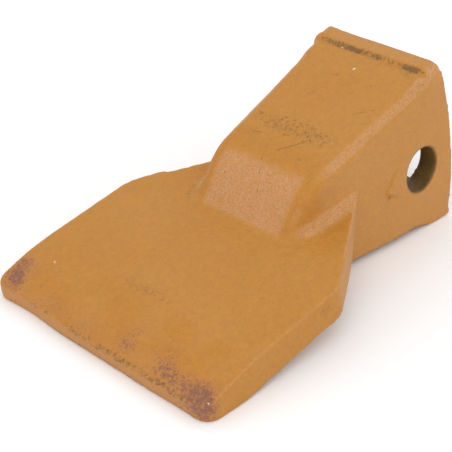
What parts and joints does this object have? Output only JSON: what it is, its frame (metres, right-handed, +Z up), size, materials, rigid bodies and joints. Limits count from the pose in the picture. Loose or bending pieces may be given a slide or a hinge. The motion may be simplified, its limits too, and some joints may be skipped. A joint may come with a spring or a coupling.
{
  "type": "bucket tooth tip",
  "caption": "Wide flared bucket tooth tip cast in steel, with a tapered socket, ears with a cross bore for the retaining pin, and a broad sloping blade that ends in a blunt cutting edge.",
  "frame": {"origin": "centre of the pin bore, halfway between the ears", "axes": "+X towards the cutting edge, +Y along the pin bore, +Z up, with the tip lying on its heel and blade as in the picture"},
  "size_m": [0.2015, 0.1352, 0.084],
  "materials": {
    "worn_paint": "ochre paint over a rough cast skin, worn and rust-stained towards the cutting edge"
  },
  "bodies": {
    "root": {"tooth_tip": "worn_paint"}
  },
  "joints": []
}
